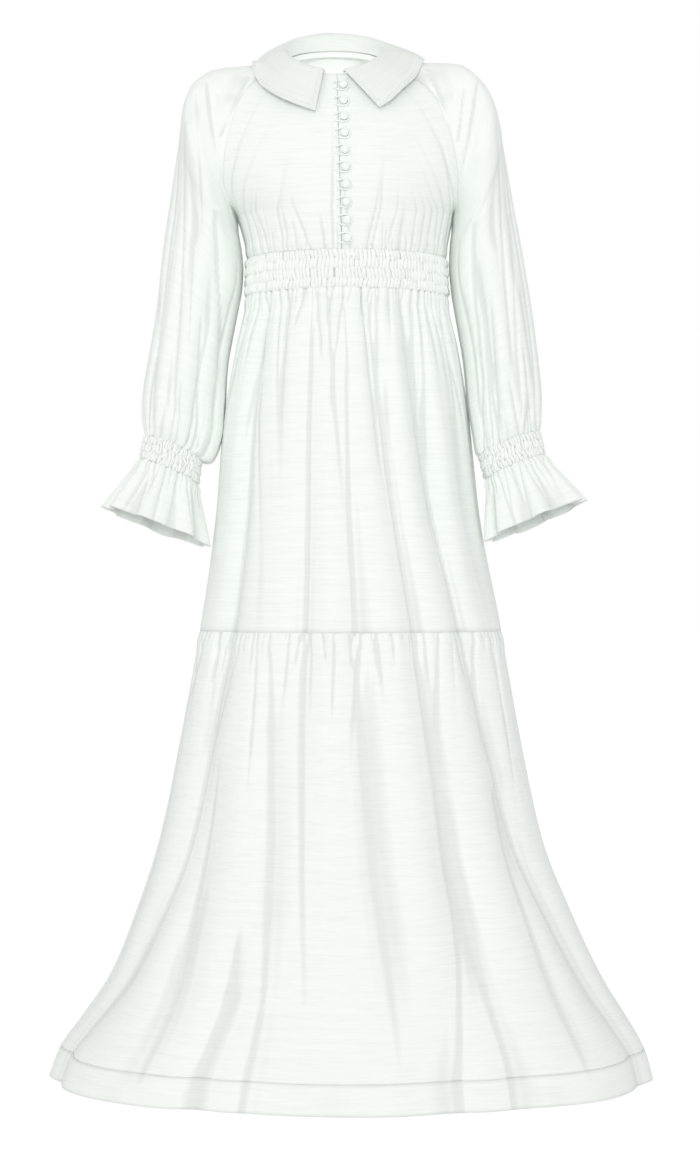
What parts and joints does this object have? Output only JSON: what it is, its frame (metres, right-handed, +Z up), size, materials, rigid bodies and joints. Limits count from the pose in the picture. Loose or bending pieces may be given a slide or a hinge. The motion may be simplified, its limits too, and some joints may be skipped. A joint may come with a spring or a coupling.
{
  "type": "abaya",
  "caption": "Full-length white abaya filled out as worn: fold-over collar, buttoned front, bishop sleeves with smocked wrists and ruffles, smocked high waist, tiered gathered skirt.",
  "frame": {"origin": "on the middle of the garment, level with the top of the shoulders at the neck, where the wearer carries it", "axes": "+Z up, the front faces -Y, +X towards the wearer's left sleeve"},
  "size_m": [0.8437, 0.5378, 1.4747],
  "materials": {
    "slub_cloth": "matte white slub jersey",
    "smocked_cloth": "matte white jersey drawn up on elastic stitching",
    "covered_trim": "matte white cloth over buttons, loops and neck binding"
  },
  "bodies": {
    "root": {"bodice_back": "slub_cloth", "bodice_front_left": "slub_cloth", "bodice_front_right": "slub_cloth", "button_stand": "slub_cloth", "collar": "slub_cloth", "hem_band_back": "slub_cloth", "hem_band_front": "slub_cloth", "skirt_lower_back": "slub_cloth", "skirt_lower_front": "slub_cloth", "skirt_upper_back": "slub_cloth", "skirt_upper_front": "slub_cloth", "sleeve_left": "slub_cloth", "sleeve_right": "slub_cloth", "wrist_ruffle_left": "slub_cloth", "wrist_ruffle_right": "slub_cloth", "waistband": "smocked_cloth", "wristband_left": "smocked_cloth", "wristband_right": "smocked_cloth", "neck_binding": "covered_trim", "button_01": "covered_trim", "button_02": "covered_trim", "button_03": "covered_trim", "button_04": "covered_trim", "button_05": "covered_trim", "button_06": "covered_trim", "button_07": "covered_trim", "button_08": "covered_trim", "button_09": "covered_trim", "button_10": "covered_trim", "button_loop_01": "covered_trim", "button_loop_02": "covered_trim", "button_loop_03": "covered_trim", "button_loop_04": "covered_trim", "button_loop_05": "covered_trim", "button_loop_06": "covered_trim", "button_loop_07": "covered_trim", "button_loop_08": "covered_trim", "button_loop_09": "covered_trim", "button_loop_10": "covered_trim"}
  },
  "joints": []
}
